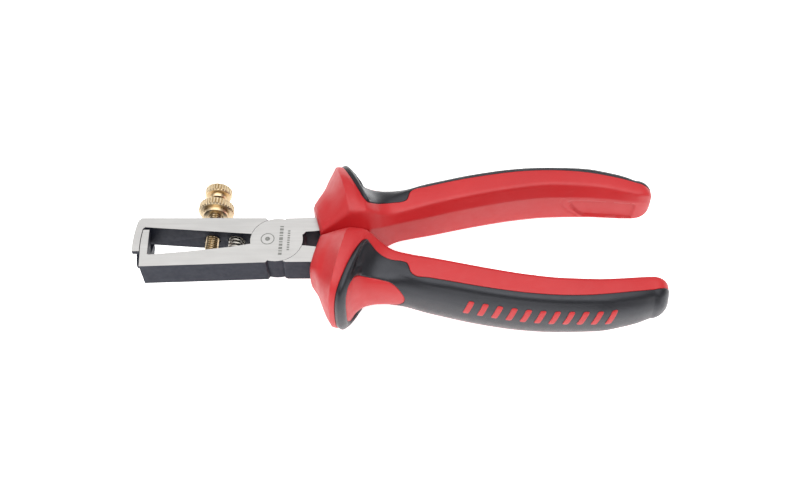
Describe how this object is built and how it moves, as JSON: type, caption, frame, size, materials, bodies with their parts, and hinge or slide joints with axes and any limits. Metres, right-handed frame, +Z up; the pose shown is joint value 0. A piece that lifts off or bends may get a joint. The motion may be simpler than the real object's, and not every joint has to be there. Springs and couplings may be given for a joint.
{
  "type": "wire stripper",
  "caption": "Adjustable wire stripper: hooked jaws with V notches, a knurled stop screw with lock nut, an opening spring and guarded two-material handles.",
  "frame": {"origin": "on the pivot axis, in the plane of the head's ground underside", "axes": "+X from the pivot to the handles, -X to the notched tips, +Y to the adjusting screw's head, +Z up out of the marked face of the joint"},
  "size_m": [0.1588, 0.0546, 0.0318],
  "materials": {
    "steel": "flat faces ground satin bright, sides black oxide",
    "brass": "turned and knurled, bare",
    "spring_wire": "drawn wire, slightly bright",
    "red_plastic": "moulded hard plastic, satin",
    "black_soft": "moulded soft grip, fine matte grain"
  },
  "bodies": {
    "lever_a": {"lever_a": "steel", "rivet": "steel", "opening_spring": "spring_wire", "handle_a_core": "red_plastic", "handle_a_cover": "black_soft"},
    "lever_b": {"lever_b": "steel", "handle_b_core": "red_plastic", "handle_b_cover": "black_soft"},
    "screw_shank": {"screw_shank": "brass"},
    "screw_head": {"screw_head": "brass"},
    "lock_nut_collar": {"lock_nut_collar": "brass"},
    "lock_nut_rim": {"lock_nut_rim": "brass"}
  },
  "joints": [
    {"name": "jaw_pivot", "type": "hinge", "parent": "lever_a", "child": "lever_b", "pos_m": [0, 0, 0.0045], "axis": [0, 0, 1], "range_deg": [0, 14], "stiffness_Nm_per_rad": 0.12, "springref_deg": 14, "deforming": ["opening_spring"]},
    {"name": "screw_advance", "type": "slide", "parent": "lever_a", "child": "screw_shank", "axis": [0, 1, 0], "range_m": [0, 0.0049]},
    {"name": "screw_turn", "type": "hinge", "parent": "screw_shank", "child": "screw_head", "pos_m": [-0.0202, 0.0205, 0.0045], "axis": [0, 1, 0], "range_deg": [0, 2526]},
    {"name": "lock_nut_advance", "type": "slide", "parent": "screw_shank", "child": "lock_nut_collar", "axis": [0, 1, 0], "range_m": [-0.0035, 0.0021]},
    {"name": "lock_nut_turn", "type": "hinge", "parent": "lock_nut_collar", "child": "lock_nut_rim", "pos_m": [-0.0202, 0.0146, 0.0045], "axis": [0, 1, 0], "range_deg": [-1804, 1084]}
  ],
  "couplings": [
    {"joint": "screw_turn", "follows": "screw_advance", "rad_per_m": 8976},
    {"joint": "lock_nut_turn", "follows": "lock_nut_advance", "rad_per_m": 8976}
  ]
}
